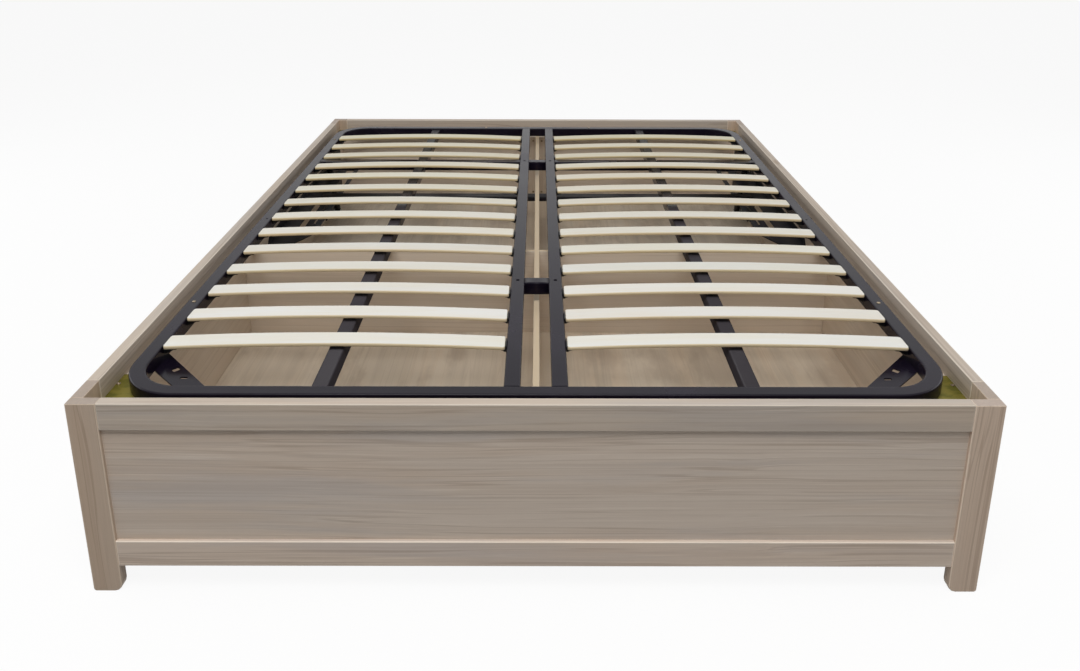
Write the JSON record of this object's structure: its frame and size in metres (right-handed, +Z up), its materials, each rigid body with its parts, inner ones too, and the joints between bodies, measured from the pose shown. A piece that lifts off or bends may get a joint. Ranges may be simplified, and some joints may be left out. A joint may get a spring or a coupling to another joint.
{
  "type": "lift-up storage bed base",
  "caption": "Wooden storage bed base with a framed box on short legs and a steel slat platform that lifts on gas struts.",
  "frame": {"origin": "on the ground under the middle of the box", "axes": "+X to the right seen from the foot end, +Y towards the head end, where the platform's hinge is, +Z up"},
  "size_m": [1.6, 2.1, 0.384],
  "materials": {
    "washed_pine": "grey-washed pine, matt lacquer",
    "inner_pine": "grey-washed inner board, matt",
    "floor_ply": "light washed board, matt",
    "platform_steel": "charcoal powder coat, satin",
    "lift_steel": "black powder coat, satin",
    "birch_slat": "birch plywood, clear lacquer",
    "holder_plastic": "black moulded plastic",
    "zinc_plate": "yellow zinc plate",
    "pin_steel": "bright zinc plate",
    "strut_paint": "black gloss paint",
    "strut_chrome": "hard chrome"
  },
  "bodies": {
    "bed_box": {"foot_stile_left": "washed_pine", "foot_stile_right": "washed_pine", "foot_top_rail": "washed_pine", "foot_bottom_rail": "washed_pine", "foot_panel": "washed_pine", "head_stile_left": "washed_pine", "head_stile_right": "washed_pine", "head_top_rail": "washed_pine", "head_bottom_rail": "washed_pine", "head_panel": "washed_pine", "left_top_rail": "washed_pine", "left_bottom_rail": "washed_pine", "left_panel": "washed_pine", "right_top_rail": "washed_pine", "right_bottom_rail": "washed_pine", "right_panel": "washed_pine", "side_stiles": "washed_pine", "wall_liners": "inner_pine", "divider_cleats": "inner_pine", "floor_battens": "inner_pine", "floor_panels": "floor_ply", "cross_divider": "floor_ply", "centre_divider": "floor_ply", "corner_plates": "zinc_plate", "box_screws": "zinc_plate", "base_plate_left": "lift_steel", "base_plate_right": "lift_steel", "cross_brace": "lift_steel", "pivot_pins": "pin_steel"},
    "platform": {"beam_ties": "platform_steel", "centre_beams": "platform_steel", "corner_bends": "platform_steel", "corner_gussets": "platform_steel", "foot_tube": "platform_steel", "head_tube": "platform_steel", "platform_fasteners": "zinc_plate", "side_tube_left": "platform_steel", "side_tube_right": "platform_steel", "slat_bearers": "platform_steel", "slat_holders": "holder_plastic", "slat_pair_01": "birch_slat", "slat_pair_02": "birch_slat", "slat_pair_03": "birch_slat", "slat_pair_04": "birch_slat", "slat_pair_05": "birch_slat", "slat_pair_06": "birch_slat", "slat_pair_07": "birch_slat", "slat_pair_08": "birch_slat", "slat_pair_09": "birch_slat", "slat_pair_10": "birch_slat", "slat_pair_11": "birch_slat", "slat_pair_12": "birch_slat", "slat_pair_13": "birch_slat", "slat_pair_14": "birch_slat", "top_bar_left": "lift_steel", "top_bar_right": "lift_steel"},
    "strut_cylinders": {"strut_cylinder_left": "strut_paint", "strut_cylinder_right": "strut_paint"},
    "strut_rods": {"strut_rod_left": "strut_chrome", "strut_rod_right": "strut_chrome"}
  },
  "joints": [
    {"name": "platform_lift", "type": "hinge", "parent": "bed_box", "child": "platform", "pos_m": [0, 0.94, 0.328], "axis": [-1, 0, 0], "range_deg": [0, 40]},
    {"name": "cylinder_swing", "type": "hinge", "parent": "bed_box", "child": "strut_cylinders", "pos_m": [0, 0.74082, 0.10366], "axis": [-1, 0, 0], "range_deg": [0, 20]},
    {"name": "rod_swing", "type": "hinge", "parent": "platform", "child": "strut_rods", "pos_m": [0, 0.64, 0.328], "axis": [-1, 0, 0], "range_deg": [-20, 0]}
  ],
  "couplings": [
    {"joint": "cylinder_swing", "follows": "platform_lift", "ratio": 0.5},
    {"joint": "rod_swing", "follows": "platform_lift", "ratio": -0.5}
  ]
}
